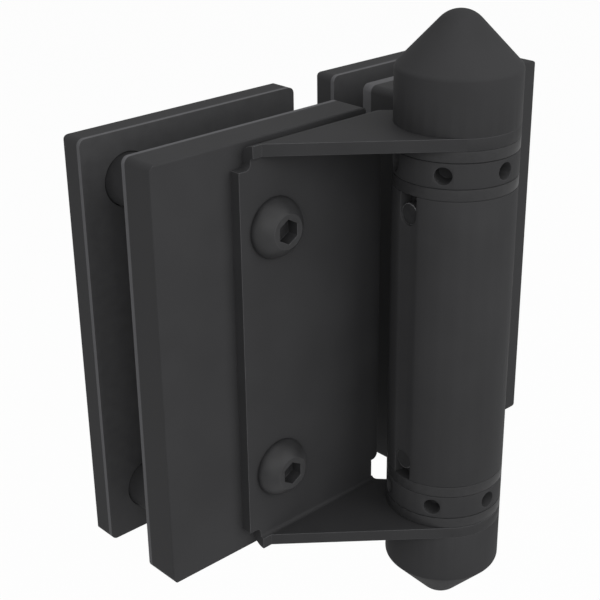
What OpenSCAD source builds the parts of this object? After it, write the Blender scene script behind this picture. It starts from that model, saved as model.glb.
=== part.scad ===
// Self-closing hinge that hangs a frameless glass gate on a fixed glass panel.
// X runs from the fixed panel's leaf to the gate's leaf, Y away from the barrel side, Z up.
// The origin is the centre of the face on which the fixed panel's glass lies.

/* [Leaves] */
// Height of all clamp plates
plate_h = 100; // [96:1:112]
// Radius of the plates' corners
plate_corner_r = 1.6; // [1:0.1:5]
// Rounding along the edges of a plate's outer face
plate_edge_r = 0.4; // [0.2:0.1:1.5]
// Width of the fixed panel's plates
panel_plate_w = 61; // [58:1:70]
// Thickness of the fixed panel's front plate
panel_front_t = 8.4; // [8:0.1:12]
// Thickness of both rubber pads on the fixed panel
panel_pad_t = 1.1; // [1:0.1:1.4]
// Space for the fixed panel's glass
panel_glass_gap = 15; // [13:0.5:16]
// Width of the gate's plates
gate_plate_w = 47.8; // [46:0.2:60]
// Thickness of the gate's front pad
gate_front_pad_t = 2.65; // [2:0.05:3]
// Space for the gate's glass
gate_glass_gap = 10; // [8:0.2:10.4]
// Thickness of both back plates
back_plate_t = 5.1; // [4.3:0.1:6]
// Space between the two leaves when the gate is shut
leaf_gap = 13.3; // [12:0.1:16]

/* [Glass fixings] */
// Distance of the glass holes from a leaf's outer edge
glass_hole_inset = 12; // [10:0.1:14]
// Distance of the glass holes from the top and bottom edges
glass_hole_drop = 11.3; // [10:0.1:14]
// Outer radius of the sleeve in a glass hole
sleeve_r = 6.1; // [5.5:0.1:7.5]

/* [Sheet brackets] */
// Thickness of the bent sheet
sheet_t = 2.75; // [2.5:0.05:3]
// Inner radius of the bends
bend_r = 0.9; // [0.8:0.1:2]
// Left edge of the fixed panel's bracket
bracket_left = -9.9; // [-12:0.1:-8]
// Overhang of the bracket past the right edge of its plate
bracket_overhang = 2; // [1:0.5:3]
// Width cut away beside the lugs at the left corners
left_notch = 3.2; // [2:0.1:4]
// Width cut away beside the lugs at the right corners
right_notch = 2; // [1.5:0.1:3]
// Half height of the bracket's flat beside the left notches
bracket_half_h = 44.4; // [42:0.1:44.5]
// Half height of the bracket's flat beside the right notches
bracket_right_half_h = 41.3; // [40:0.1:43]
// Distance from a lug's left side to the start of its slanted edge
lug_shoulder = 2.5; // [1:0.1:5]
// Distance between a bracket's two screws
screw_spacing = 60; // [50:1:64]
// Distance of the gate bracket's screws from the gate leaf's inner edge
gate_screw_inset = 22.7; // [21:0.1:26]
// Width of the gate bracket's flat
gate_bracket_w = 32.8; // [30:0.1:34]
// Half height of the gate bracket's web along the barrel
gate_web_half_h = 34; // [30:0.5:35]

/* [Barrel] */
// Outer radius of the barrel
barrel_r = 14.05; // [13.6:0.05:14.2]
// Distance of the pivot axis in front of the brackets' back face
pivot_depth = 20.6; // [20.5:0.1:22]
// Distance of the pivot axis from the middle of the space between the leaves
pivot_offset = 0.55; // [0:0.05:1]
// Height of the tube
tube_h = 71.3; // [70:0.1:72]
// Bore radius of the tube
tube_bore_r = 11; // [10.8:0.1:11.2]
// Height of each plain ring
ring_h = 2.75; // [2.5:0.05:3]
// Height of each tension collar
collar_h = 5.8; // [5.4:0.1:6]
// Radius of the tommy holes in the collars
tommy_r = 2; // [1.8:0.1:2.2]
// Number of tommy holes in a collar
tommy_count = 6; // [4:1:8]
// Width of the open slots at the tube's ends
slot_w = 5; // [4:0.1:5.2]
// Depth of the open slots
slot_depth = 7.2; // [6.5:0.1:7.5]
// Direction in which the slots face, about the pivot axis
slot_angle = 175; // [150:1:200]
// Radius of the pivot pin
pin_r = 5; // [4.8:0.1:5.1]
// Height of a cap's straight side
cap_side_h = 12.35; // [10:0.05:13]
// Slope of a cap's cone from level
cap_slope = 46.5; // [40:0.1:50]
// Radius of a cap's rounded tip
cap_tip_r = 6.3; // [4:0.1:7]
// Radius of the shoulder between a cap's side and cone
cap_shoulder_r = 1.5; // [1:0.1:3]

/* [Springs] */
// Mean radius of a spring's coils
coil_r = 9.3; // [9.2:0.05:9.4]
// Radius of the spring wire
wire_r = 1.05; // [0.9:0.05:1.1]
// Rise of a spring in one turn
coil_pitch = 2.9; // [2.7:0.05:2.95]

/* [Hidden] */
$fn = 64;
// Play of a turning fit and of a bolt in its hole, and the least gap between turning rings
running_play = 0.05;
bolt_play = 0.2;
ring_gap = 0.05;
// Sizes of an 8 mm machine screw: shank, button head, countersunk head, key
screw_r = 4;
button_r = 7;
button_h = 4.4;
button_rim_h = 0.8;
button_flat_r = 4;
flush_head_r = 7.8;
key_across_flats = 5;
key_depth = 3;
bracket_screw_reach = 8.7;
clamp_screw_bite = 5.4;
// Sinking of a flush head below the back face
head_sink = 0.1;
overcut = 1;

// Faces of the two leaves along Y, from the origin on the panel's front pad
panel_metal_y = -panel_pad_t;
front_y = panel_metal_y - panel_front_t;
back_plate_y = panel_glass_gap + panel_pad_t;
rear_y = back_plate_y + back_plate_t;
gate_back_pad_t = 1.2;
gate_glass_back_y = back_plate_y - gate_back_pad_t;
gate_glass_y = gate_glass_back_y - gate_glass_gap;
gate_metal_y = gate_glass_y - gate_front_pad_t;

panel_left = -panel_plate_w / 2;
panel_right = panel_plate_w / 2;
gate_left = panel_right + leaf_gap;
gate_right = gate_left + gate_plate_w;
half_h = plate_h / 2;
glass_hole_z = half_h - glass_hole_drop;
panel_hole_x = panel_left + glass_hole_inset;
gate_hole_x = gate_right - glass_hole_inset;
pad_hole_r = sleeve_r + bolt_play;

// Pivot and the stack of rings, as heights above the middle
pivot = [panel_right + leaf_gap / 2 + pivot_offset, front_y - pivot_depth];
tube_top = tube_h / 2;
bush_top = tube_top + ring_h;
collar_top = bush_top + collar_h;
lug_low = collar_top + ring_h;
lug_high = lug_low + sheet_t;
tommy_z = (bush_top + collar_top) / 2;
tommy_depth = 5;
ring_edge = 0.15;
slot_end_z = tube_top - slot_depth + slot_w / 2;
hub_r = 7;
hub_end_z = 19;
spigot_end_z = 28;
anchor_half_h = 5;
key_pin_out = barrel_r - 0.7;
key_pin_in = hub_r + 0.6;
pin_half_h = lug_high + 9;

// Screws of the brackets
bracket_right = panel_right + bracket_overhang;
bracket_screw_x = -0.2;
gate_screw_x = gate_left + gate_screw_inset;
screw_z = screw_spacing / 2;
bracket_front_y = front_y - sheet_t;

// The lug's slanted edge starts where the bend ends and touches the barrel as a tangent
tab_left = bracket_left + left_notch;
tab_right = bracket_right - right_notch;
notch_fillet_r = 1.2;
flat_corner_r = 1.5;
bend_end_y = bracket_front_y - bend_r;
edge_start = [tab_left + lug_shoulder, bend_end_y];
to_pivot = pivot - edge_start;
edge_angle = atan2(to_pivot.y, to_pivot.x) - asin(barrel_r / norm(to_pivot));
edge_touch = pivot + barrel_r * [sin(edge_angle), -cos(edge_angle)];
right_touch_angle = 102;
right_touch = pivot + barrel_r * [cos(right_touch_angle), sin(right_touch_angle)];

// Spring wire: its points climb from a tang in the anchor to a tang in the collar's hub
coil_turns = 5;
rings_per_turn = 8;
wire_sides = 6;
tang_l = 2.2;
coil_low_z = anchor_half_h + 1.9;
coil_top_z = coil_low_z + coil_pitch * coil_turns;
coil_rings = coil_turns * rings_per_turn;
tang_y = 1.5;
tang_play = 0.25;

function coil_point(i) =
    let (turn = i / rings_per_turn)
    [coil_r * cos(360 * turn), coil_r * sin(360 * turn), coil_low_z + coil_pitch * turn];

wire_path = concat(
    [coil_point(0) - [0, 0, tang_l + 1], coil_point(0) - [0, 0, 1]],
    [for (i = [1 : coil_rings]) coil_point(i)],
    [for (x = [coil_r - tang_l, pin_r + 0.5]) [x, tang_y, coil_top_z]]
);

// Least distance between wire points half a turn or more apart, less the wire itself
coil_self_gap = min([
    for (i = [1 : coil_rings - rings_per_turn]) norm(coil_point(i) - coil_point(i + rings_per_turn))
]) - 2 * wire_r;
echo("least gap between the turns of a spring in mm", coil_self_gap);

// Puts an upper part's copy at the lower end as its mirror image
module lower() {
    mirror([0, 0, 1]) children();
}

// Runs a shape that was drawn along Z towards the back, from the plane y = start
module rearward(start) {
    translate([0, start, 0]) rotate([-90, 0, 0]) children();
}

// Both places of a fixing that stands above and below the middle
module pair(x, z) {
    for (side = [-1, 1])
        translate([x, 0, side * z]) children();
}

// Rectangle from the origin with round corners
module round_rect(w, h, r) {
    translate([r, 0]) square([w - 2 * r, h]);
    translate([0, r]) square([w, h - 2 * r]);
    for (x = [r, w - r], y = [r, h - r])
        translate([x, y]) circle(r);
}

// Flat slab of a leaf, from left to left + w and from y to y + t
module slab(left, w, y, t) {
    translate([left, y + t, -half_h])
        rotate([90, 0, 0]) linear_extrude(t) round_rect(w, plate_h, plate_corner_r);
}

// Section of a plate with a round edge at both ends of its outer side, which lies at 0
module edged_section(w, t) {
    translate([0, plate_edge_r]) square([w, t - plate_edge_r]);
    translate([plate_edge_r, 0]) square([w - 2 * plate_edge_r, t]);
    for (x = [plate_edge_r, w - plate_edge_r])
        translate([x, plate_edge_r]) circle(plate_edge_r);
}

// Clamp plate whose outer face at y = 0 looks to the front and has round edges
module front_faced_plate(left, w, t) {
    intersection() {
        slab(left, w, 0, t);
        translate([left, 0, -half_h]) linear_extrude(plate_h) edged_section(w, t);
        translate([left, 0, half_h]) rotate([0, 90, 0]) linear_extrude(w) edged_section(plate_h, t);
    }
}

// Clamp plates in their places, with the round edges away from the glass
module front_plate(left, w, y, t) {
    translate([0, y, 0]) front_faced_plate(left, w, t);
}

module back_plate(left, w) {
    translate([0, rear_y, 0]) mirror([0, 1, 0]) front_faced_plate(left, w, back_plate_t);
}

// Screws and the holes they need

module key_socket(depth) {
    rotate(30) cylinder(r = key_across_flats / sqrt(3), h = depth, $fn = 6);
}

// Button-head screw, head up from z = 0 and shank down
module button_screw(shank_l) {
    drop = (button_r * button_r + button_rim_h * button_rim_h
        - button_flat_r * button_flat_r - button_h * button_h) / (2 * (button_rim_h - button_h));
    dome_r = norm([button_r, button_rim_h - drop]);
    translate([0, 0, -shank_l]) cylinder(r = screw_r, h = shank_l);
    difference() {
        intersection() {
            cylinder(r = button_r, h = button_h);
            translate([0, 0, drop]) sphere(dome_r);
        }
        translate([0, 0, button_h - key_depth]) key_socket(key_depth + overcut);
    }
}

// Countersunk screw, top of the head at z = 0 and everything else below
module flush_screw(l) {
    cone_h = flush_head_r - screw_r;
    difference() {
        union() {
            translate([0, 0, -l]) cylinder(r = screw_r, h = l - cone_h);
            translate([0, 0, -cone_h]) cylinder(r1 = screw_r, r2 = flush_head_r, h = cone_h);
        }
        translate([0, 0, -key_depth]) key_socket(key_depth + overcut);
    }
}

module flush_screw_hole(l) {
    cone_h = flush_head_r - screw_r;
    translate([0, 0, -l]) cylinder(r = screw_r + bolt_play, h = l + overcut);
    translate([0, 0, -cone_h - head_sink])
        cylinder(r1 = screw_r + running_play, r2 = flush_head_r + running_play + head_sink + overcut,
            h = cone_h + head_sink + overcut);
}

// Blind threaded hole of a screw, drawn upwards from its closed end at z = 0
module threaded_hole(depth) {
    cylinder(r = screw_r + running_play, h = depth + overcut);
}

// Leaves

module leaf_front_plate(left, w, y, t, hole_x, clamp_bite, screw_x) {
    difference() {
        front_plate(left, w, y, t);
        pair(hole_x, glass_hole_z) rearward(y + t - clamp_bite - overcut) threaded_hole(clamp_bite + overcut);
        pair(screw_x, screw_z) rearward(y - overcut) threaded_hole(bracket_screw_reach - sheet_t + overcut);
    }
}

module leaf_back_plate(left, w, hole_x) {
    difference() {
        back_plate(left, w);
        pair(hole_x, glass_hole_z) rearward(rear_y) flush_screw_hole(back_plate_t + overcut);
    }
}

module leaf_pad(left, w, y, t, hole_x) {
    difference() {
        slab(left, w, y, t);
        pair(hole_x, glass_hole_z) rearward(y - overcut) cylinder(r = pad_hole_r, h = t + 2 * overcut);
    }
}

module leaf_sleeves(hole_x, y) {
    l = back_plate_y - y;
    pair(hole_x, glass_hole_z) rearward(y) difference() {
        cylinder(r = sleeve_r, h = l);
        translate([0, 0, -overcut]) cylinder(r = screw_r + bolt_play, h = l + 2 * overcut);
    }
}

module leaf_clamp_screws(hole_x, metal_y, bite) {
    top = rear_y - head_sink;
    pair(hole_x, glass_hole_z) rearward(top) flush_screw(top - metal_y + bite);
}

module panel_front_plate() {
    color("#3a3a3b")
        leaf_front_plate(panel_left, panel_plate_w, front_y, panel_front_t, panel_hole_x,
            clamp_screw_bite, bracket_screw_x);
}

module panel_back_plate() {
    color("#3a3a3b") leaf_back_plate(panel_left, panel_plate_w, panel_hole_x);
}

module panel_front_pad() {
    color("#4a4a4b") leaf_pad(panel_left, panel_plate_w, panel_metal_y, panel_pad_t, panel_hole_x);
}

module panel_back_pad() {
    color("#4a4a4b") leaf_pad(panel_left, panel_plate_w, panel_glass_gap, panel_pad_t, panel_hole_x);
}

module panel_sleeves() {
    color("#2e2e2f") leaf_sleeves(panel_hole_x, panel_metal_y);
}

module panel_clamp_screws() {
    color("#333334") leaf_clamp_screws(panel_hole_x, panel_metal_y, clamp_screw_bite - 1);
}

module gate_front_plate() {
    color("#3a3a3b")
        leaf_front_plate(gate_left, gate_plate_w, front_y, gate_metal_y - front_y, gate_hole_x,
            clamp_screw_bite + 3, gate_screw_x);
}

module gate_back_plate() {
    color("#3a3a3b") leaf_back_plate(gate_left, gate_plate_w, gate_hole_x);
}

module gate_front_pad() {
    color("#4a4a4b") leaf_pad(gate_left, gate_plate_w, gate_metal_y, gate_front_pad_t, gate_hole_x);
}

module gate_back_pad() {
    color("#4a4a4b") leaf_pad(gate_left, gate_plate_w, gate_glass_back_y, gate_back_pad_t, gate_hole_x);
}

module gate_sleeves() {
    color("#2e2e2f") leaf_sleeves(gate_hole_x, gate_metal_y);
}

module gate_clamp_screws() {
    color("#333334") leaf_clamp_screws(gate_hole_x, gate_metal_y, clamp_screw_bite + 2);
}

// Sheet brackets

// Fillet for an inner corner at the origin, between the X and Y axes
module inner_fillet(r) {
    difference() {
        square(r);
        translate([r, r]) circle(r);
    }
}

// Quarter ring of sheet about the origin, in the quarter where x and y are positive
module bend_section() {
    intersection() {
        difference() {
            circle(bend_r + sheet_t);
            circle(bend_r);
        }
        square(bend_r + sheet_t);
    }
}

// Outline of a lug and its bend, seen from above
module lug_plan() {
    translate(pivot) circle(barrel_r);
    polygon([
        [tab_left, front_y], [tab_left, bend_end_y], edge_start, edge_touch, pivot, right_touch,
        [tab_right, bracket_front_y + 0.5], [tab_right, front_y]
    ]);
}

// Upper lug with the bend that joins it to the flat
module lug() {
    bend_z = lug_low - bend_r;
    reach = bend_end_y - pivot.y + barrel_r;
    intersection() {
        translate([0, 0, bend_z - overcut]) linear_extrude(lug_high - bend_z + 2 * overcut) lug_plan();
        union() {
            translate([tab_left, bend_end_y, bend_z])
                rotate([90, 0, 90]) linear_extrude(2 * barrel_r + pivot.x) bend_section();
            translate([tab_left, bend_end_y - reach, lug_low]) cube([2 * barrel_r + pivot.x, reach, sheet_t]);
        }
    }
}

module bracket_outline() {
    bend_z = lug_low - bend_r;
    translate([bracket_left, -bracket_half_h]) square([tab_right - bracket_left, 2 * bracket_half_h]);
    translate([tab_left, -bracket_right_half_h])
        round_rect(bracket_right - tab_left, 2 * bracket_right_half_h, flat_corner_r);
    translate([tab_left, -bend_z]) square([tab_right - tab_left, 2 * bend_z]);
    for (end = [0, 1])
        mirror([0, end]) translate([tab_left, bracket_half_h]) mirror([1, 0]) inner_fillet(notch_fillet_r);
}

module bracket_flat() {
    translate([0, front_y, 0]) rotate([90, 0, 0]) linear_extrude(sheet_t) bracket_outline();
}

module panel_bracket() {
    color("#353536") difference() {
        union() {
            bracket_flat();
            lug();
            lower() lug();
        }
        at_pivot() bore(pin_r + running_play, -lug_high, lug_high);
        pair(bracket_screw_x, screw_z) rearward(bracket_front_y - overcut)
            cylinder(r = screw_r + bolt_play, h = sheet_t + 2 * overcut);
    }
}

// Plan of the gate's bracket: a web beside the tube, a bend and a flat on the plate
module gate_bracket_plan() {
    web_x = pivot.x + barrel_r - 0.08 - sheet_t;
    bend_x = web_x + sheet_t + bend_r;
    translate([web_x, pivot.y]) square([sheet_t, bend_end_y - pivot.y]);
    translate([bend_x, bend_end_y]) mirror([1, 0, 0]) bend_section();
    translate([bend_x, bracket_front_y]) square([gate_bracket_w - (bend_x - web_x), sheet_t]);
}

module gate_bracket() {
    flat_x = pivot.x + barrel_r + bend_r + sheet_t;
    color("#353536") difference() {
        union() {
            translate([0, 0, -gate_web_half_h]) linear_extrude(2 * gate_web_half_h) gate_bracket_plan();
            intersection() {
                translate([0, 0, -bracket_half_h]) linear_extrude(2 * bracket_half_h) gate_bracket_plan();
                translate([flat_x, bracket_front_y - 1, -bracket_half_h])
                    cube([gate_bracket_w, sheet_t + 2, 2 * bracket_half_h]);
            }
        }
        at_pivot() bore(barrel_r + running_play, -half_h, half_h);
        pair(gate_screw_x, screw_z) rearward(bracket_front_y - overcut)
            cylinder(r = screw_r + bolt_play, h = sheet_t + 2 * overcut);
    }
}

module bracket_screws(x) {
    pair(x, screw_z) translate([0, bracket_front_y, 0]) rotate([90, 0, 0]) button_screw(bracket_screw_reach);
}

module panel_bracket_screws() {
    color("#3e3e3f") bracket_screws(bracket_screw_x);
}

module gate_bracket_screws() {
    color("#3e3e3f") bracket_screws(gate_screw_x);
}

// Barrel: every part below is drawn about its own upright axis and moved to the pivot

module at_pivot() {
    translate(concat(pivot, 0)) children();
}

// Disc as wide as the barrel, from z low to z high, with small bevels on its edges
module disc(low, high) {
    rotate_extrude() polygon([
        [0, low], [barrel_r - ring_edge, low], [barrel_r, low + ring_edge],
        [barrel_r, high - ring_edge], [barrel_r - ring_edge, high], [0, high]
    ]);
}

// Cut along the axis that passes both ends of a piece from z low to z high
module bore(r, low, high) {
    translate([0, 0, low - overcut]) cylinder(r = r, h = high - low + 2 * overcut);
}

// Radial bore that starts at the given radius and runs outwards
module radial_bore(angle, z, r, from, to) {
    rotate([0, 0, angle]) translate([from, 0, z]) rotate([0, 90, 0]) cylinder(r = r, h = to - from);
}

// Open slot at the tube's upper end, with a round closed end
module key_slot() {
    wall = barrel_r - tube_bore_r + 2 * overcut;
    radial_bore(slot_angle, slot_end_z, slot_w / 2, tube_bore_r - overcut, barrel_r + overcut);
    rotate([0, 0, slot_angle]) translate([tube_bore_r - overcut, -slot_w / 2, slot_end_z])
        cube([wall, slot_w, tube_top - slot_end_z + overcut]);
}

module barrel_tube() {
    color("#383839") at_pivot() difference() {
        disc(-tube_top, tube_top);
        bore(tube_bore_r, -tube_top, tube_top);
        key_slot();
        lower() key_slot();
    }
}

module bush() {
    at_pivot() difference() {
        union() {
            disc(tube_top, bush_top - ring_gap);
            translate([0, 0, spigot_end_z])
                cylinder(r = tube_bore_r - running_play, h = tube_top - spigot_end_z);
        }
        bore(hub_r + running_play, spigot_end_z, bush_top);
        radial_bore(slot_angle, slot_end_z, slot_w / 2, key_pin_in, barrel_r);
    }
}

module key_pin() {
    at_pivot() radial_bore(slot_angle, slot_end_z, slot_w / 2 - running_play, key_pin_in, key_pin_out);
}

module spring_anchor() {
    color("#4c4c4e") at_pivot() difference() {
        translate([0, 0, -anchor_half_h]) cylinder(r = tube_bore_r, h = 2 * anchor_half_h);
        bore(pin_r + running_play, -anchor_half_h, anchor_half_h);
        tang_hole();
        lower() tang_hole();
    }
}

module tang_hole() {
    translate([coil_r, 0, anchor_half_h - tang_l]) cylinder(r = wire_r + bolt_play, h = tang_l + overcut);
}

// Collar with tommy holes and the hub that carries the spring's outer end
module collar() {
    step = 360 / tommy_count;
    slot_side = 2 * (wire_r + tang_play);
    at_pivot() difference() {
        union() {
            disc(bush_top, collar_top - ring_gap);
            translate([0, 0, hub_end_z]) cylinder(r = hub_r, h = bush_top - hub_end_z);
        }
        bore(pin_r + running_play, hub_end_z, collar_top);
        for (i = [0 : tommy_count - 1])
            radial_bore(30 + i * step, tommy_z, tommy_r, barrel_r - tommy_depth, barrel_r + overcut);
        translate([0, tang_y - slot_side / 2, hub_end_z - overcut])
            cube([hub_r + overcut, slot_side, coil_top_z + slot_side / 2 - hub_end_z + overcut]);
    }
}

// Wire swept along its points as one closed tube
module wire(path) {
    n = len(path);
    function along(i) =
        let (step = path[min(i + 1, n - 1)] - path[max(i - 1, 0)]) step / norm(step);
    function out_of(i) =
        let (t = along(i), ref = abs(t.z) > 0.7 ? [1, 0, 0] : [0, 0, 1], s = cross(t, ref)) s / norm(s);
    points = [
        for (i = [0 : n - 1], k = [0 : wire_sides - 1])
            let (a = 360 * k / wire_sides, s = out_of(i), u = cross(s, along(i)))
            path[i] + wire_r * (cos(a) * s + sin(a) * u)
    ];
    sides = [
        for (i = [0 : n - 2], k = [0 : wire_sides - 1])
            let (a = i * wire_sides + k, b = i * wire_sides + (k + 1) % wire_sides)
            each [[a, b, b + wire_sides], [a, b + wire_sides, a + wire_sides]]
    ];
    first = [for (k = [1 : wire_sides - 2]) [0, k + 1, k]];
    base = (n - 1) * wire_sides;
    last = [for (k = [1 : wire_sides - 2]) [base, base + k, base + k + 1]];
    polyhedron(concat(points), concat(sides, first, last));
}

module spring() {
    at_pivot() wire(wire_path);
}

module upper_spring() {
    color("#6a6a6c") spring();
}

module lower_spring() {
    color("#6a6a6c") lower() spring();
}

module upper_bush() {
    color("#383839") bush();
}

module lower_bush() {
    color("#383839") lower() bush();
}

module upper_key_pin() {
    color("#59595a") key_pin();
}

module lower_key_pin() {
    color("#59595a") lower() key_pin();
}

module upper_collar() {
    color("#3b3b3c") collar();
}

module lower_collar() {
    color("#3b3b3c") lower() collar();
}

module pivot_pin() {
    color("#59595a") at_pivot() translate([0, 0, -pin_half_h]) cylinder(r = pin_r, h = 2 * pin_half_h);
}

module thrust_ring() {
    at_pivot() difference() {
        disc(collar_top, lug_low);
        bore(pin_r + running_play, collar_top, lug_low);
    }
}

module upper_thrust_ring() {
    color("#383839") thrust_ring();
}

module lower_thrust_ring() {
    color("#383839") lower() thrust_ring();
}

// Half section of a cap: side, shoulder, cone and ball-shaped tip
module cap_section() {
    side_top = lug_high + cap_side_h;
    turn = 90 - cap_slope;
    shoulder = [barrel_r - cap_shoulder_r, side_top - cap_shoulder_r * tan(turn / 2)];
    shoulder_edge = shoulder + cap_shoulder_r * [sin(cap_slope), cos(cap_slope)];
    run = shoulder_edge.x - cap_tip_r * sin(cap_slope);
    tip_edge = [cap_tip_r * sin(cap_slope), shoulder_edge.y + run * tan(cap_slope)];
    tip_z = tip_edge.y - cap_tip_r * cos(cap_slope);
    intersection() {
        union() {
            translate([0, lug_high]) square([barrel_r, shoulder.y - lug_high]);
            polygon([[0, shoulder.y], shoulder, shoulder_edge, tip_edge, [0, tip_z]]);
            translate(shoulder) circle(cap_shoulder_r);
            translate([0, tip_z]) circle(cap_tip_r);
        }
        translate([0, lug_high]) square([barrel_r, 2 * barrel_r]);
    }
}

module cap() {
    at_pivot() difference() {
        rotate_extrude() cap_section();
        translate([0, 0, lug_high - overcut])
            cylinder(r = pin_r + running_play, h = pin_half_h - lug_high + overcut);
    }
}

module upper_cap() {
    color("#3c3c3d") cap();
}

module lower_cap() {
    color("#3c3c3d") lower() cap();
}

panel_front_plate();
panel_back_plate();
panel_front_pad();
panel_back_pad();
panel_sleeves();
panel_clamp_screws();
panel_bracket();
panel_bracket_screws();
gate_front_plate();
gate_back_plate();
gate_front_pad();
gate_back_pad();
gate_sleeves();
gate_clamp_screws();
gate_bracket();
gate_bracket_screws();
barrel_tube();
spring_anchor();
upper_bush();
lower_bush();
upper_key_pin();
lower_key_pin();
upper_spring();
lower_spring();
upper_collar();
lower_collar();
pivot_pin();
upper_thrust_ring();
lower_thrust_ring();
upper_cap();
lower_cap();
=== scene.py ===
"""Looks of the glass gate hinge: finishes, rounded edges, twisting springs, a weld and a studio."""
import math

import bmesh
import bpy
from bpy.props import FloatProperty, FloatVectorProperty, PointerProperty, StringProperty
from mathutils import Matrix, Vector
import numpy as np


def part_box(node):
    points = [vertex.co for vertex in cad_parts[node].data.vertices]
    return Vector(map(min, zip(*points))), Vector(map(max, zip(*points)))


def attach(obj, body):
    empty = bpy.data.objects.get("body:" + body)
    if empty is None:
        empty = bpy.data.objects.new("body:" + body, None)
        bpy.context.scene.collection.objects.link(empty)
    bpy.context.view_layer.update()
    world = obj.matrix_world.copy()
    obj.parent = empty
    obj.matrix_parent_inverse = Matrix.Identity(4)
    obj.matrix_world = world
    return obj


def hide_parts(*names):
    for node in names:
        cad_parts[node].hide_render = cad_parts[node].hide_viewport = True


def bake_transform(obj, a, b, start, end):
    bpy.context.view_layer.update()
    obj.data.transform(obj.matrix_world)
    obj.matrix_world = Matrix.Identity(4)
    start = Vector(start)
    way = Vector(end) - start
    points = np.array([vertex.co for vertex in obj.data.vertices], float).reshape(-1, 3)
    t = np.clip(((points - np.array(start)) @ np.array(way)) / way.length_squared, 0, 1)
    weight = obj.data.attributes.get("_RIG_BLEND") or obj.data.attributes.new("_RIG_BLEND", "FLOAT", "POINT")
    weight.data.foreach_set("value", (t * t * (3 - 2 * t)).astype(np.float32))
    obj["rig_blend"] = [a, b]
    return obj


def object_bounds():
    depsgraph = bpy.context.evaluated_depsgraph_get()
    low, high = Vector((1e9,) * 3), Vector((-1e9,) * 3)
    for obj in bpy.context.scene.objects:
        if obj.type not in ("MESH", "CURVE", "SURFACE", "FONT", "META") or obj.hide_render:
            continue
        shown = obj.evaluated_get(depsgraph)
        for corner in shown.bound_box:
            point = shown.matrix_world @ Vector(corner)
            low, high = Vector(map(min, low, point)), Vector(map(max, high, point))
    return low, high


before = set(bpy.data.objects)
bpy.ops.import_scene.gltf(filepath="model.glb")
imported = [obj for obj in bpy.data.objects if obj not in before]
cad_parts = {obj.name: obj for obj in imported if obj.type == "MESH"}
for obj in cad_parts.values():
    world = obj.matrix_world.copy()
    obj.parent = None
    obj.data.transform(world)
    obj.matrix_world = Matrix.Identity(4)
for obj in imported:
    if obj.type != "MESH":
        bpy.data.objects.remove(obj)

bl_info = {
    "name": "Glass gate hinge",
    "version": (1, 0, 0),
    "blender": (4, 5, 0),
    "location": "View3D > Sidebar > Hinge",
    "description": "Finishes and studio for a self-closing glass gate hinge",
    "category": "Object",
}

MM = 0.001
CAD_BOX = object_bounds()

# The pivot axis runs through the middle of the tube, and the gate bracket's web meets the tube
TUBE_LOW, TUBE_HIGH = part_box("barrel_tube")
PIVOT = (TUBE_LOW + TUBE_HIGH) / 2
BARREL_R = (TUBE_HIGH.x - TUBE_LOW.x) / 2
WEB_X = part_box("gate_bracket")[0].x

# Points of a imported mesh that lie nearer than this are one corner
SEAM_GAP = 0.002 * MM
# An edge is rounded where the surface turns by more than this
SHARP_TURN = math.radians(35)
ROUNDING_STEPS = 2
# Rounding of the screws and key pins against the sheet's, and of the inner pins against the rings'
SCREW_ROUNDING = 0.7
INNER_ROUNDING = 2

# Width of the paler line along an edge, where the coat draws thin and the black is rubbed off, painted paler
# as an edge highlight; the edge's shading is rounded over the same width
COAT_LINE = 0.25 * MM
SCREW_LINE = 0.18 * MM
KEY_PIN_LINE = 0.3 * MM

# Lumps of the orange peel, roughness and specular level of the coat on sheet and on turned steel
SHEET_COAT = (0.9 * MM, 0.7, 0.14)
TURNED_COAT = (0.7 * MM, 0.74, 0.11)
PIN_ROUGH = 0.3
WIRE_ROUGH = 0.38

# Noise stays mostly between these two values
NOISE_LOW, NOISE_HIGH = 0.3, 0.7
# The wave texture turns by this many radians in each unit of its scaled length
WAVE_RADIANS = 20

# A spring's rise in one turn, and how much of its ends stays with the anchor and with the collar
COIL_PITCH = 2.9 * MM
ANCHOR_HOLD = 3.2 * MM
COLLAR_HOLD = 4.0 * MM
# Both halves of a spring stay with the panel's side for this height on each side of their cut
CUT_HOLD = 1.2 * MM

# The bead's half length, the sides of its rounded face, and its swell: rings to one ripple, the
# depth of a ripple and the width of its two ends
BEAD_HALF = 33 * MM
BEAD_SIDES = 6
RINGS_PER_RIPPLE = 4
RIPPLE_DEPTH = 0.1
BEAD_END = 0.45

# Place and size of each soft box round the hinge, in metres
SOFT_BOXES = {
    "key": ((0.35, -0.95, 0.45), (1.0, 0.9)),
    "fill": ((-0.75, -0.75, 0.45), (1.0, 0.9)),
    "top": ((0.1, -0.1, 0.95), (1.0, 1.0)),
}
# Half the floor's width, and the width of the faint clouds in its paint, in metres
FLOOR_HALF = 20.0
FLOOR_CLOUD = 0.15
# Strength of the floor's white glow, and its share of what the camera and mirrors see; the rest
# is the paint with the hinge's shadow
FLOOR_GLOW = 1.04
GLOW_SHARE = 0.92
# Width of the camera's sensor in millimetres, and the nearest distance that it shows, in metres
SENSOR_MM = 36
NEAREST_SEEN = 0.01


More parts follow.
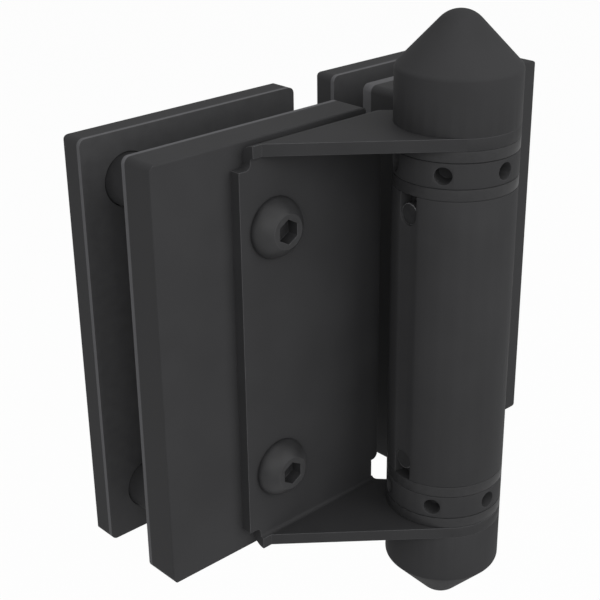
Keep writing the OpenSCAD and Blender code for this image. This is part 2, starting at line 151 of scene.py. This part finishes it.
class HingeFinish(bpy.types.PropertyGroup):
    """Colours of the finishes and sizes of the rounded edges and the weld"""
    coat: StringProperty(
        name="Powder coat", description="sRGB colour of the coated plates", default="#343435")
    bracket: StringProperty(
        name="Bracket coat", description="sRGB colour of the coated sheet brackets",
        default="#323233")
    barrel: StringProperty(
        name="Barrel coat", description="sRGB colour of the coated tube, collars and caps",
        default="#353536")
    # Painted edge highlight: the coat is drawn paler along the edges, where it also draws thin
    thin_coat_highlight: StringProperty(
        name="Coat on edges", description="sRGB colour where the coat draws thin along an edge",
        default="#464648")
    # Painted edge highlight along the brackets' cut sheet edges, where the coat also draws thin
    cut_edge_highlight: StringProperty(
        name="Coat on cut sheet",
        description="sRGB colour where the coat draws thin along a cut sheet edge",
        default="#606062")
    screw: StringProperty(
        name="Screws", description="sRGB colour of the blackened screws and key pins",
        default="#2c2c2d")
    # Painted edge highlight on the screws' rims and sockets, where the black is also rubbed off
    rubbed: StringProperty(
        name="Rubbed edges", description="sRGB colour where the black is rubbed off an edge",
        default="#5c5c5e")
    # Painted highlight: the key pins' rims are drawn bright
    pin_rim_highlight: StringProperty(
        name="Key pin rims", description="sRGB colour of the key pins' rims, rubbed bright",
        default="#a0a0a2")
    rubber: StringProperty(
        name="Rubber pads", description="sRGB colour of the glass pads", default="#404041")
    # Painted highlight: the pads' sides are drawn paler than their faces
    highlighted: StringProperty(
        name="Trimmed sides", description="sRGB colour of the pads' trimmed sides",
        default="#565658")
    nylon: StringProperty(
        name="Nylon rings", description="sRGB colour of the bushes and thrust rings",
        default="#2f2f30")
    sleeve: StringProperty(
        name="Sleeves", description="sRGB colour of the moulded sleeves in the glass holes",
        default="#303031")
    steel: StringProperty(
        name="Pin steel", description="sRGB colour of the pivot pin and the spring anchor",
        default="#77777a")
    wire: StringProperty(
        name="Spring wire", description="sRGB colour of the oiled spring wire", default="#5a5550")
    plate_edge: FloatProperty(
        name="Sheet edge rounding", description="Rounding of the sheet's cut edges",
        default=0.3 * MM, min=0.05 * MM, max=0.6 * MM, subtype="DISTANCE", unit="LENGTH")
    ring_edge: FloatProperty(
        name="Turned edge rounding", description="Rounding of the turned parts' edges",
        default=0.12 * MM, min=0.02 * MM, max=0.2 * MM, subtype="DISTANCE", unit="LENGTH")
    weld_leg: FloatProperty(
        name="Weld size", description="Height of the bead between the gate bracket and the tube",
        default=1.8 * MM, min=1.0 * MM, max=2.5 * MM, subtype="DISTANCE", unit="LENGTH")
    weld_step: FloatProperty(
        name="Weld ripple", description="Distance between the ripples of the bead",
        default=1.4 * MM, min=0.8 * MM, max=3.0 * MM, subtype="DISTANCE", unit="LENGTH")


class HingeStudio(bpy.types.PropertyGroup):
    """The camera, the lights and the floor"""
    azimuth: FloatProperty(
        name="Azimuth", description="Direction in which the camera stands, from -Y towards +X",
        default=math.radians(-42.373), subtype="ANGLE", unit="ROTATION")
    elevation: FloatProperty(
        name="Elevation", description="Height of the camera above the horizon",
        default=math.radians(24.216), subtype="ANGLE", unit="ROTATION")
    roll: FloatProperty(
        name="Roll", description="Turn of the camera about its own view",
        default=math.radians(-0.753), subtype="ANGLE", unit="ROTATION")
    place: FloatVectorProperty(
        name="Camera place", description="Where the camera stands",
        default=(-0.174232, -0.2107, 0.131307), subtype="TRANSLATION", unit="LENGTH")
    lens: FloatProperty(
        name="Focal length", description="Focal length on a sensor 36 mm wide",
        default=78.41, min=20, max=200, unit="CAMERA")
    sky: FloatProperty(
        name="Sky", description="Strength of the even white light from all round",
        default=0.54, min=0, max=2)
    key: FloatProperty(
        name="Key light", description="Power of the soft box in front on the right",
        default=5.2, min=0, unit="POWER")
    fill: FloatProperty(
        name="Fill light", description="Power of the soft box behind the camera",
        default=5.3, min=0, unit="POWER")
    top: FloatProperty(
        name="Top light", description="Power of the soft box overhead",
        default=2.5, min=0, unit="POWER")
    floor: StringProperty(
        name="Floor", description="sRGB colour of the floor's paint", default="#a8a8a8")
    floor_drop: FloatProperty(
        name="Floor drop", description="Depth of the floor below the hinge's lowest point",
        default=0.12, min=0, subtype="DISTANCE", unit="LENGTH")


def linear(hex_colour):
    """Linear RGBA of an sRGB hex colour."""
    values = [int(hex_colour[i:i + 2], 16) / 255 for i in (1, 3, 5)]
    return (*(v / 12.92 if v <= 0.04045 else ((v + 0.055) / 1.055) ** 2.4 for v in values), 1.0)


def add_node(tree, kind, inputs=None, **settings):
    """Adds a node with its settings; a socket among its inputs is linked, any other is set."""
    made = tree.nodes.new(kind)
    for name, value in settings.items():
        setattr(made, name, value)
    for key, value in (inputs or {}).items():
        if isinstance(value, bpy.types.NodeSocket):
            tree.links.new(value, made.inputs[key])
        else:
            made.inputs[key].default_value = value
    return made


def start_material(name):
    """New material, its tree and the coordinates of the piece that wears it, in metres."""
    made = bpy.data.materials.new(name)
    made.use_nodes = True
    made.node_tree.nodes.clear()
    return made, made.node_tree, add_node(made.node_tree, "ShaderNodeTexCoord")


def edge_line(tree, width):
    """Share of edge, 0 on a flat and 1 along an edge, and the normal rounded over that edge."""
    rounded = add_node(tree, "ShaderNodeBevel", {"Radius": width}, samples=6).outputs["Normal"]
    flat = add_node(tree, "ShaderNodeNewGeometry").outputs["Normal"]
    # The two normals agree on a flat and part along an edge
    facing = add_node(
        tree, "ShaderNodeVectorMath", {0: rounded, 1: flat}, operation="DOT_PRODUCT")
    share = add_node(tree, "ShaderNodeMapRange", {
        "Value": facing.outputs["Value"],
        "From Min": 0.99, "From Max": 0.8, "To Min": 0.0, "To Max": 1.0})
    return share.outputs["Result"], rounded


def close_finish(tree, where, tone, mottle, brightness, rough, relief, shader):
    """Joins a tone, a mottle that shifts its brightness and roughness, and a fine relief.

    tone is a colour or a socket. mottle is the width of the lumps and their detail, and
    brightness and rough are the ranges they span. relief holds the inputs of the bump, and
    shader the surface's other inputs.
    """
    lump, detail = mottle
    cloud = add_node(tree, "ShaderNodeTexNoise", {
        "Vector": where, "Scale": 1 / lump, "Detail": detail}).outputs["Fac"]
    brighter, rougher = (
        add_node(tree, "ShaderNodeMapRange", {
            "Value": cloud, "From Min": NOISE_LOW, "From Max": NOISE_HIGH,
            "To Min": low, "To Max": high}).outputs["Result"]
        for low, high in (brightness, rough))
    shade = add_node(tree, "ShaderNodeHueSaturation", {"Color": tone, "Value": brighter})
    bump = add_node(tree, "ShaderNodeBump", relief)
    surface = add_node(tree, "ShaderNodeBsdfPrincipled", {
        "Base Color": shade.outputs["Color"], "Roughness": rougher,
        "Normal": bump.outputs["Normal"], **shader})
    add_node(tree, "ShaderNodeOutputMaterial", {"Surface": surface.outputs["BSDF"]})


def powder_coat(name, colour, thin_highlight_colour, peel_lump, rough, gloss):
    """Steel under a satin polyester powder coat, baked on.

    The eye sees an even black with a soft broad sheen, a faint orange peel from the powder's
    flow and a paler line where the coat draws back from an edge, painted paler as an edge
    highlight.
    """
    made, tree, coords = start_material(name)
    where = coords.outputs["Object"]
    peel = add_node(tree, "ShaderNodeTexNoise", {
        "Vector": where, "Scale": 1 / peel_lump, "Detail": 1.0}).outputs["Fac"]
    edge, rounded = edge_line(tree, COAT_LINE)
    # Paler colour along the edges: the coat drawn thin there, and a painted edge highlight
    tone = add_node(tree, "ShaderNodeMixRGB", {
        "Fac": edge, "Color1": linear(colour), "Color2": linear(thin_highlight_colour)})
    # The coat's thickness drifts in clouds about 14 mm wide
    close_finish(
        tree, where, tone.outputs["Color"], mottle=(14 * MM, 2.0), brightness=(0.92, 1.08),
        rough=(rough - 0.03, rough + 0.03),
        relief={"Height": peel, "Strength": 0.18, "Distance": 0.03 * MM, "Normal": rounded},
        shader={"IOR": 1.5, "Specular IOR Level": gloss})
    return made


def blackened_steel(name, colour, rubbed_highlight_colour, line):
    """Alloy steel, cold-headed or turned and chemically blackened under oil.

    A little glossier than the coat, with a cloudy oil film that shifts the sheen and a paler
    line where the black is rubbed off an edge, painted paler as an edge highlight.
    """
    made, tree, coords = start_material(name)
    where = coords.outputs["Object"]
    # The real grain is finer than 0.1 mm; at 0.35 mm it shows
    grain = add_node(tree, "ShaderNodeTexNoise", {
        "Vector": where, "Scale": 1 / (0.35 * MM), "Detail": 1.0}).outputs["Fac"]
    edge, rounded = edge_line(tree, line)
    # Paler colour along the edges: the black rubbed off there, and a painted edge highlight
    tone = add_node(tree, "ShaderNodeMixRGB", {
        "Fac": edge, "Color1": linear(colour), "Color2": linear(rubbed_highlight_colour)})
    # The oil dries in clouds about 3 mm wide
    close_finish(
        tree, where, tone.outputs["Color"], mottle=(3 * MM, 3.0), brightness=(0.85, 1.15),
        rough=(0.45, 0.55),
        relief={"Height": grain, "Strength": 0.15, "Distance": 0.02 * MM, "Normal": rounded},
        shader={"IOR": 1.6, "Specular IOR Level": 0.2})
    return made


def moulded_rubber(name, colour, side_highlight_colour):
    """Rubber or nylon, moulded against a matt tool and cut clean along its edges.

    Dull and close to the coat, with a dusty mottle; its sides, which face across Y, are
    painted paler as a highlight.
    """
    made, tree, coords = start_material(name)
    where = coords.outputs["Object"]
    # The tool's spark-eroded texture is finer than 0.1 mm; at 0.4 mm it shows
    tooth = add_node(tree, "ShaderNodeTexNoise", {
        "Vector": where, "Scale": 1 / (0.4 * MM), "Detail": 1.0}).outputs["Fac"]
    # The pads' faces look along Y, and their sides across it; the sides get the paler colour, a painted
    # highlight
    facing = add_node(tree, "ShaderNodeSeparateXYZ", {"Vector": coords.outputs["Normal"]})
    along = add_node(tree, "ShaderNodeMath", {0: facing.outputs["Y"]}, operation="ABSOLUTE")
    side = add_node(tree, "ShaderNodeMapRange", {
        "Value": along.outputs["Value"],
        "From Min": 0.95, "From Max": 0.7, "To Min": 0.0, "To Max": 1.0})
    # Paler colour on the sides, chosen by the way they face: a painted highlight
    tone = add_node(tree, "ShaderNodeMixRGB", {
        "Fac": side.outputs["Result"], "Color1": linear(colour), "Color2": linear(side_highlight_colour)})
    # Dust settles in patches about 2.5 mm wide
    close_finish(
        tree, where, tone.outputs["Color"], mottle=(2.5 * MM, 4.0), brightness=(0.92, 1.08),
        rough=(0.66, 0.76), relief={"Height": tooth, "Strength": 0.25, "Distance": 0.03 * MM},
        shader={"IOR": 1.52, "Specular IOR Level": 0.16})
    return made


def turned_nylon(name, colour):
    """Glass-filled nylon ring, turned from bar.

    A soft sheen broken by fine level tool lines round the axis.
    """
    made, tree, coords = start_material(name)
    where = coords.outputs["Object"]
    # The tool's feed leaves lines about 0.2 mm apart; at 1 mm they show
    line_gap = 1.0 * MM
    lines = add_node(
        tree, "ShaderNodeTexWave",
        {"Vector": where, "Scale": math.tau / WAVE_RADIANS / line_gap,
         "Distortion": 0.6, "Detail": 1.0},
        wave_type="BANDS", bands_direction="Z").outputs["Fac"]
    # Bundles of the glass fibre show as flecks about 1.2 mm wide
    close_finish(
        tree, where, linear(colour), mottle=(1.2 * MM, 2.0), brightness=(0.9, 1.1),
        rough=(0.5, 0.58), relief={"Height": lines, "Strength": 0.12, "Distance": 0.02 * MM},
        shader={"IOR": 1.53, "Specular IOR Level": 0.18})
    return made


def ground_steel(name, colour, rough):
    """Bare steel, ground or drawn, under a trace of oil.

    Bright metal with a fine scratch and a little uneven stain.
    """
    made, tree, coords = start_material(name)
    where = coords.outputs["Object"]
    # The grit's scratches are finer than 0.1 mm; at 0.3 mm they show
    scratch = add_node(tree, "ShaderNodeTexNoise", {
        "Vector": where, "Scale": 1 / (0.3 * MM), "Detail": 2.0}).outputs["Fac"]
    # The oil stains the steel in patches about 4 mm wide
    close_finish(
        tree, where, linear(colour), mottle=(4 * MM, 3.0), brightness=(0.85, 1.1),
        rough=(rough - 0.05, rough + 0.08),
        relief={"Height": scratch, "Strength": 0.1, "Distance": 0.01 * MM},
        shader={"Metallic": 1.0})
    return made


def finish_nodes(names, material, rounding=None):
    """Puts a material on CAD nodes and rounds their sharp edges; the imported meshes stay."""
    for name in names:
        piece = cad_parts[name]
        for slot in piece.material_slots:
            slot.material = material
        if rounding is None:
            continue
        joined = piece.modifiers.new("join split corners", "WELD")
        joined.merge_threshold = SEAM_GAP
        bevel = piece.modifiers.new("round edges", "BEVEL")
        bevel.width = rounding
        bevel.segments = ROUNDING_STEPS
        bevel.limit_method = "ANGLE"
        bevel.angle_limit = SHARP_TURN
        bevel.use_clamp_overlap = True
        bevel.harden_normals = True


def new_piece(name, bm):
    """Turns a finished bmesh into an object of the scene."""
    mesh = bpy.data.meshes.new(name)
    bm.to_mesh(mesh)
    bm.free()
    piece = bpy.data.objects.new(name, mesh)
    bpy.context.scene.collection.objects.link(piece)
    return piece


class HINGE_OT_plates(bpy.types.Operator):
    """Coats the four clamp plates"""
    bl_idname = "hinge.plates"
    bl_label = "Clamp plates"

    def execute(self, context):
        looks = context.scene.hinge_finish
        finish_nodes(
            ("panel_front_plate", "panel_back_plate", "gate_front_plate", "gate_back_plate"),
            powder_coat("powder coated steel plate", looks.coat, looks.thin_coat_highlight, *SHEET_COAT))
        return {"FINISHED"}


class HINGE_OT_brackets(bpy.types.Operator):
    """Coats the bent brackets and rounds their cut edges"""
    bl_idname = "hinge.brackets"
    bl_label = "Sheet brackets"

    def execute(self, context):
        looks = context.scene.hinge_finish
        # The brackets' cut edges get a brighter painted edge highlight
        finish_nodes(
            ("panel_bracket", "gate_bracket"),
            powder_coat("powder coated bent sheet", looks.bracket, looks.cut_edge_highlight, *SHEET_COAT),
            looks.plate_edge)
        return {"FINISHED"}


class HINGE_OT_screws(bpy.types.Operator):
    """Blackens the screws and key pins and rounds their rims and sockets"""
    bl_idname = "hinge.screws"
    bl_label = "Screws and key pins"

    def execute(self, context):
        looks = context.scene.hinge_finish
        rounding = looks.plate_edge * SCREW_ROUNDING
        finish_nodes(
            ("panel_bracket_screws", "gate_bracket_screws", "panel_clamp_screws",
             "gate_clamp_screws"),
            blackened_steel("blackened screw steel", looks.screw, looks.rubbed, SCREW_LINE),
            rounding)
        # The key pins' rims get a bright painted highlight along their edges
        finish_nodes(
            ("upper_key_pin", "lower_key_pin"),
            blackened_steel("blackened key pin steel", looks.screw, looks.pin_rim_highlight, KEY_PIN_LINE),
            rounding)
        return {"FINISHED"}


class HINGE_OT_pads(bpy.types.Operator):
    """Gives the glass pads their rubber"""
    bl_idname = "hinge.pads"
    bl_label = "Glass pads"

    def execute(self, context):
        looks = context.scene.hinge_finish
        finish_nodes(
            ("panel_front_pad", "panel_back_pad", "gate_front_pad", "gate_back_pad"),
            moulded_rubber("moulded pad rubber", looks.rubber, looks.highlighted),
            looks.plate_edge)
        return {"FINISHED"}


class HINGE_OT_barrel(bpy.types.Operator):
    """Coats the tube, the collars and the caps"""
    bl_idname = "hinge.barrel"
    bl_label = "Barrel"

    def execute(self, context):
        looks = context.scene.hinge_finish
        finish_nodes(
            ("barrel_tube", "upper_collar", "lower_collar", "upper_cap", "lower_cap"),
            powder_coat(
                "powder coated turned steel", looks.barrel, looks.thin_coat_highlight, *TURNED_COAT),
            looks.ring_edge)
        return {"FINISHED"}


class HINGE_OT_rings(bpy.types.Operator):
    """Gives the bushes and thrust rings turned nylon and the sleeves moulded nylon"""
    bl_idname = "hinge.rings"
    bl_label = "Bushes, rings and sleeves"

    def execute(self, context):
        looks = context.scene.hinge_finish
        finish_nodes(
            ("upper_bush", "lower_bush", "upper_thrust_ring", "lower_thrust_ring"),
            turned_nylon("turned black nylon", looks.nylon), looks.ring_edge)
        # The sleeves come whole from their tool; their sides get no painted highlight, as both colours given
        # are the sleeve's
        finish_nodes(
            ("panel_sleeves", "gate_sleeves"),
            moulded_rubber("moulded sleeve nylon", looks.sleeve, looks.sleeve), looks.ring_edge)
        return {"FINISHED"}


def coil_half(name, node, cut, keep):
    """Copy of a spring on one side of the level plane at cut: above at keep 1, below at -1."""
    bm = bmesh.new()
    bm.from_mesh(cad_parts[node].data)
    bmesh.ops.remove_doubles(bm, verts=bm.verts, dist=SEAM_GAP)
    bmesh.ops.bisect_plane(
        bm, geom=[*bm.verts, *bm.edges, *bm.faces],
        plane_co=(0, 0, cut), plane_no=(0, 0, -keep), clear_outer=True)
    caps = bmesh.ops.holes_fill(bm, edges=[e for e in bm.edges if e.is_boundary])["faces"]
    bmesh.ops.triangulate(bm, faces=caps)
    return new_piece(name, bm)


def hold_sections(half, up, foot, start, end):
    """Gives all points of one section of the wire the same share of the twist.

    The wire then keeps its section. foot is the height at which the coils begin, and up is the
    way they climb.
    """
    shares = half.data.attributes["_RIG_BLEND"].data
    for vertex, share in zip(half.data.vertices, shares):
        from_axis = vertex.co - PIVOT
        turn = math.atan2(from_axis.y, from_axis.x) / math.tau
        whole = round((vertex.co.z - foot) * up / COIL_PITCH - turn)
        middle = foot + up * COIL_PITCH * (whole + turn)
        # The share eases off at both ends
        t = min(max((middle - start) / (end - start), 0.0), 1.0)
        share.value = t * t * (3 - 2 * t)


def twist_spring(node, collar, up, wire):
    """Puts two halves in a spring's place: one end follows the anchor, the other the collar.

    Both halves follow the panel's side at the cut, where they meet.
    """
    low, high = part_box(node)
    cut = (low.z + high.z) / 2
    anchor_end, collar_end = (low.z, high.z) if up > 0 else (high.z, low.z)
    foot = anchor_end + up * ANCHOR_HOLD
    spans = (
        ("_anchor_half", -up, "gate_side", "panel_side", foot, cut - up * CUT_HOLD),
        ("_collar_half", up, "panel_side", collar,
         cut + up * CUT_HOLD, collar_end - up * COLLAR_HOLD),
    )
    for ending, keep, first, second, start, end in spans:
        half = coil_half(node + ending, node, cut, keep)
        half.data.materials.clear()
        half.data.materials.append(wire)
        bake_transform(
            half, first, second, start=(PIVOT.x, PIVOT.y, start), end=(PIVOT.x, PIVOT.y, end))
        hold_sections(half, up, foot, start, end)
        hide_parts(node)


class HINGE_OT_inner(bpy.types.Operator):
    """Gives the pivot pin, the anchor and the springs bare steel and lets the springs twist"""
    bl_idname = "hinge.inner"
    bl_label = "Pins and springs"

    def execute(self, context):
        looks = context.scene.hinge_finish
        finish_nodes(
            ("pivot_pin", "spring_anchor"),
            ground_steel("centreless ground pin steel", looks.steel, PIN_ROUGH),
            looks.ring_edge * INNER_ROUNDING)
        # Drawn wire gleams darker and softer than the pins, through its oil
        wire = ground_steel("oiled drawn spring wire", looks.wire, WIRE_ROUGH)
        twist_spring("upper_spring", "upper_collar", 1, wire)
        twist_spring("lower_spring", "lower_collar", -1, wire)
        return {"FINISHED"}


def bead_section(leg):
    """Quarter-round section of a fillet weld, flat sides on the two metals."""
    turns = (i / BEAD_SIDES * math.pi / 2 for i in range(BEAD_SIDES + 1))
    return [Vector((0, 0)), *(Vector((math.cos(t), math.sin(t))) * leg for t in turns)]


def weld_bead(corner, leg, step):
    """Rippled bead that runs up the corner between the web's face and the tube."""
    bm = bmesh.new()
    count = round(2 * BEAD_HALF / step * RINGS_PER_RIPPLE)
    rings = []
    for i in range(count + 1):
        swell = 1 - RIPPLE_DEPTH + RIPPLE_DEPTH * abs(math.sin(math.pi * i / RINGS_PER_RIPPLE))
        if i in (0, count):
            swell *= BEAD_END
        z = -BEAD_HALF + 2 * BEAD_HALF * i / count
        rings.append([
            bm.verts.new(corner + Vector((-p.x, p.y, z))) for p in bead_section(leg * swell)])
    for below, above in zip(rings, rings[1:]):
        for k in range(len(below)):
            n = (k + 1) % len(below)
            bm.faces.new((below[k], below[n], above[n], above[k]))
    bm.faces.new(reversed(rings[0]))
    bm.faces.new(rings[-1])
    bmesh.ops.recalc_face_normals(bm, faces=bm.faces)
    for face in bm.faces:
        face.smooth = True
    return new_piece("weld_bead", bm)


class HINGE_OT_welds(bpy.types.Operator):
    """Lays the bead that joins the gate bracket's web to the tube"""
    bl_idname = "hinge.welds"
    bl_label = "Weld bead"

    def execute(self, context):
        looks = context.scene.hinge_finish
        run = math.sqrt(BARREL_R ** 2 - (WEB_X - PIVOT.x) ** 2)
        corner = Vector((WEB_X, PIVOT.y + run, 0))
        bead = weld_bead(corner, looks.weld_leg, looks.weld_step)
        # The coat runs over the ripples and softens them
        bead.data.materials.append(
            powder_coat("powder coated weld", looks.bracket, looks.thin_coat_highlight, *SHEET_COAT))
        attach(bead, "gate_side")
        return {"FINISHED"}


def light_sky(scene, strength):
    """Even white light from all round."""
    world = bpy.data.worlds.new("white studio")
    scene.world = world
    world.use_nodes = True
    world.node_tree.nodes.clear()
    light = add_node(
        world.node_tree, "ShaderNodeBackground", {"Color": (1, 1, 1, 1), "Strength": strength})
    add_node(world.node_tree, "ShaderNodeOutputWorld", {"Surface": light.outputs["Background"]})


def white_floor(colour):
    """Matt white studio paint, rolled on.

    It takes the hinge's shadow, and glows white to the camera and to what mirrors it.
    """
    made, tree, coords = start_material("matt white studio floor")
    cloud = add_node(tree, "ShaderNodeTexNoise", {
        "Vector": coords.outputs["Object"], "Scale": 1 / FLOOR_CLOUD, "Detail": 2.0})
    brighter = add_node(tree, "ShaderNodeMapRange", {
        "Value": cloud.outputs["Fac"], "From Min": NOISE_LOW, "From Max": NOISE_HIGH,
        "To Min": 0.98, "To Max": 1.02})
    shade = add_node(tree, "ShaderNodeHueSaturation", {
        "Color": linear(colour), "Value": brighter.outputs["Result"]})
    paint = add_node(tree, "ShaderNodeBsdfPrincipled", {
        "Base Color": shade.outputs["Color"], "Roughness": 0.8})
    glow = add_node(tree, "ShaderNodeEmission", {
        "Color": (1, 1, 1, 1), "Strength": FLOOR_GLOW})
    ray = add_node(tree, "ShaderNodeLightPath").outputs
    mirrored = add_node(
        tree, "ShaderNodeMath", {0: ray["Is Glossy Ray"], 1: ray["Is Transmission Ray"]},
        operation="MAXIMUM")
    seen = add_node(
        tree, "ShaderNodeMath", {0: ray["Is Camera Ray"], 1: mirrored.outputs["Value"]},
        operation="MAXIMUM")
    share = add_node(
        tree, "ShaderNodeMath", {0: seen.outputs["Value"], 1: GLOW_SHARE}, operation="MULTIPLY")
    mixed = add_node(tree, "ShaderNodeMixShader", {
        0: share.outputs["Value"], 1: paint.outputs["BSDF"], 2: glow.outputs["Emission"]})
    add_node(tree, "ShaderNodeOutputMaterial", {"Surface": mixed.outputs["Shader"]})
    return made


def lay_floor(colour, height):
    """Wide level floor under the hinge."""
    half = FLOOR_HALF
    mesh = bpy.data.meshes.new("studio_floor")
    corners = ((-half, -half), (half, -half), (half, half), (-half, half))
    mesh.from_pydata([(x, y, height) for x, y in corners], [], [(0, 1, 2, 3)])
    mesh.materials.append(white_floor(colour))
    floor = bpy.data.objects.new("studio_floor", mesh)
    bpy.context.scene.collection.objects.link(floor)


def hang_soft_box(name, place, size, power):
    """Soft box that looks at the middle of the hinge and stays out of the picture."""
    lamp = bpy.data.lights.new(name, "AREA")
    lamp.shape = "RECTANGLE"
    lamp.size, lamp.size_y = size
    lamp.energy = power
    piece = bpy.data.objects.new(name, lamp)
    piece.visible_camera = False
    piece.location = place
    aim = (CAD_BOX[0] + CAD_BOX[1]) / 2
    piece.rotation_euler = (aim - Vector(place)).to_track_quat("-Z", "Y").to_euler()
    bpy.context.scene.collection.objects.link(piece)


def stand_camera(scene, studio):
    """Camera at the photograph's viewing angle, place and focal length."""
    lens = bpy.data.cameras.new("photo view")
    lens.sensor_width = SENSOR_MM
    lens.lens = studio.lens
    lens.clip_start = NEAREST_SEEN
    camera = bpy.data.objects.new("photo view", lens)
    a, e = studio.azimuth, studio.elevation
    back = Vector((math.sin(a) * math.cos(e), -math.cos(a) * math.cos(e), math.sin(e)))
    right = (-back).cross(Vector((0, 0, 1))).normalized()
    up = right.cross(-back)
    right_rolled = right * math.cos(studio.roll) + up * math.sin(studio.roll)
    up_rolled = up * math.cos(studio.roll) - right * math.sin(studio.roll)
    turn = Matrix((right_rolled, up_rolled, back)).transposed()
    camera.matrix_world = Matrix.Translation(Vector(studio.place)) @ turn.to_4x4()
    scene.collection.objects.link(camera)
    scene.camera = camera


class HINGE_OT_studio(bpy.types.Operator):
    """Sets the floor, the lights and the camera"""
    bl_idname = "hinge.studio"
    bl_label = "Studio"

    def execute(self, context):
        scene = context.scene
        studio = scene.hinge_studio
        scene.view_settings.view_transform = "Standard"
        light_sky(scene, studio.sky)
        lay_floor(studio.floor, CAD_BOX[0].z - studio.floor_drop)
        for name, (place, size) in SOFT_BOXES.items():
            hang_soft_box(name + " light", place, size, getattr(studio, name))
        stand_camera(scene, studio)
        return {"FINISHED"}


OPERATORS = (
    HINGE_OT_plates, HINGE_OT_brackets, HINGE_OT_screws, HINGE_OT_pads, HINGE_OT_barrel,
    HINGE_OT_rings, HINGE_OT_inner, HINGE_OT_welds, HINGE_OT_studio,
)


class HINGE_PT_panel(bpy.types.Panel):
    """Lists the hinge's pieces and their finishes"""
    bl_idname = "HINGE_PT_panel"
    bl_label = "Glass gate hinge"
    bl_space_type = "VIEW_3D"
    bl_region_type = "UI"
    bl_category = "Hinge"

    def draw(self, context):
        for kind in OPERATORS:
            self.layout.operator(kind.bl_idname)
        for group in (context.scene.hinge_finish, context.scene.hinge_studio):
            box = self.layout.box()
            for name in group.__annotations__:
                box.prop(group, name)


CLASSES = (HingeFinish, HingeStudio, *OPERATORS, HINGE_PT_panel)


def register():
    for kind in CLASSES:
        bpy.utils.register_class(kind)
    bpy.types.Scene.hinge_finish = PointerProperty(type=HingeFinish)
    bpy.types.Scene.hinge_studio = PointerProperty(type=HingeStudio)


def unregister():
    del bpy.types.Scene.hinge_studio
    del bpy.types.Scene.hinge_finish
    for kind in reversed(CLASSES):
        bpy.utils.unregister_class(kind)


def main():
    """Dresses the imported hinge."""
    register()
    bpy.ops.hinge.plates()
    bpy.ops.hinge.brackets()
    bpy.ops.hinge.screws()
    bpy.ops.hinge.pads()
    bpy.ops.hinge.barrel()
    bpy.ops.hinge.rings()
    bpy.ops.hinge.inner()
    bpy.ops.hinge.welds()
    bpy.ops.hinge.studio()
    bpy.context.view_layer.update()


if __name__ == "__main__":
    main()
